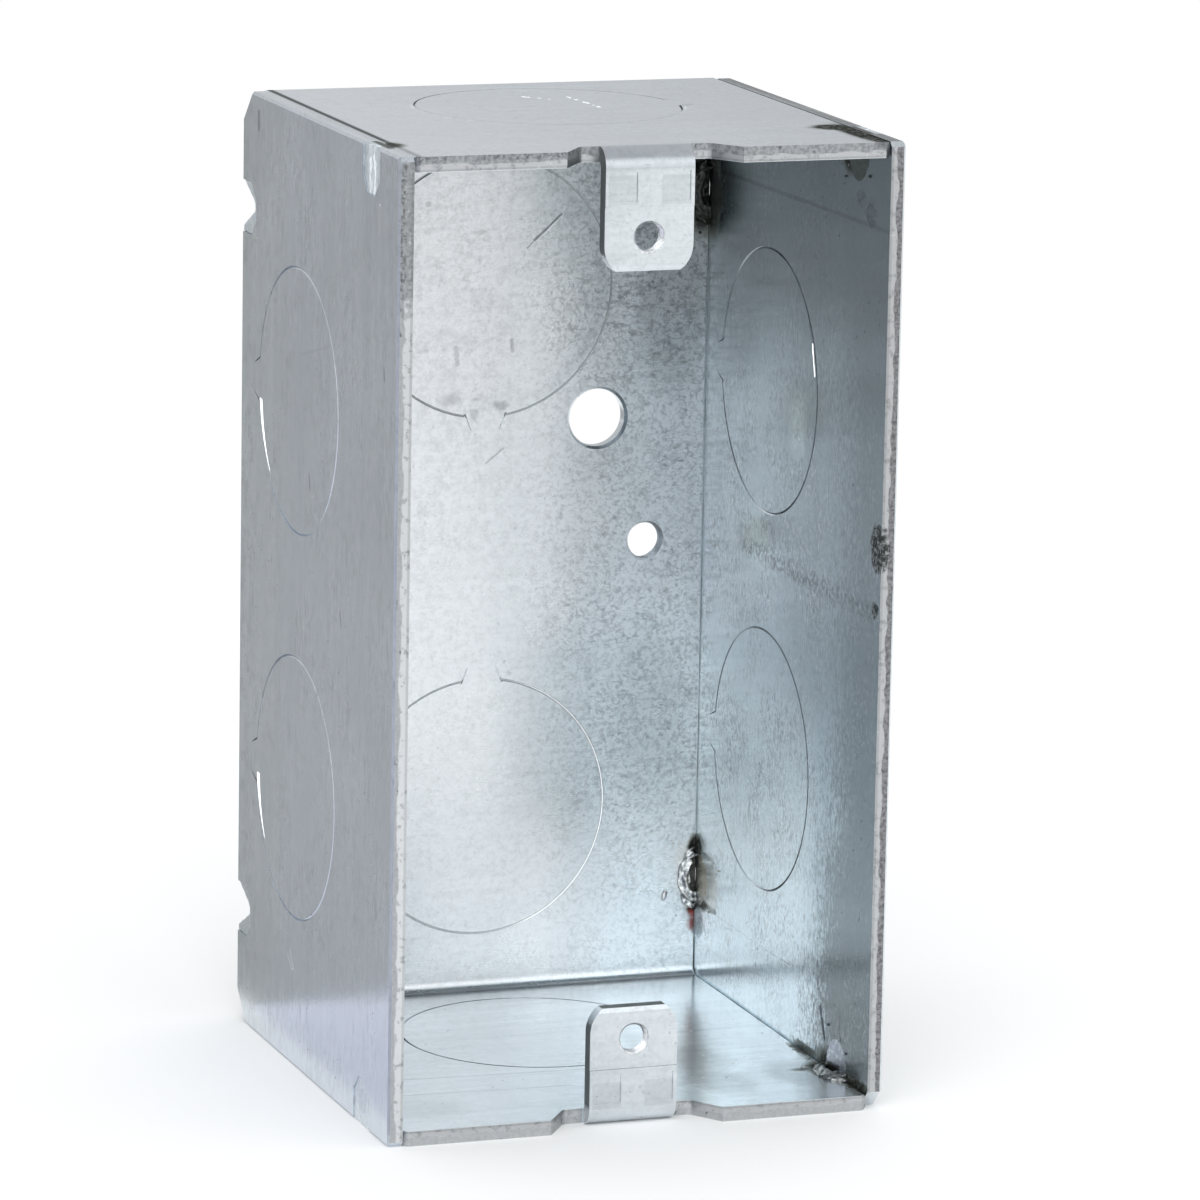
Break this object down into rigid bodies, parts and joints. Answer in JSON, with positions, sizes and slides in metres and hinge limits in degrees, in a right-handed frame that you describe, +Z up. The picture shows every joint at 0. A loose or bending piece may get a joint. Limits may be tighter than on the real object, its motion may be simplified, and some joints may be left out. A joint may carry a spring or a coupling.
{
  "type": "handy box",
  "caption": "Narrow welded steel utility box with an open front, round knockouts in its walls and threaded ears that hold a wiring device.",
  "frame": {"origin": "under the middle of the box, on its bottom face", "axes": "+Z up along the long side, +Y from the open front to the back wall, +X to the right seen from the front"},
  "size_m": [0.054, 0.054, 0.1016],
  "materials": {
    "galvanised_wrap": "galvanised, mottled",
    "galvanised_plate": "galvanised, fine rolled grain",
    "weld_metal": "bare weld, sooty"
  },
  "bodies": {
    "root": {"folded_wrap": "galvanised_wrap", "left_side_plate": "galvanised_plate", "right_side_plate": "galvanised_plate", "left_welds": "weld_metal", "right_welds": "weld_metal"}
  },
  "joints": []
}
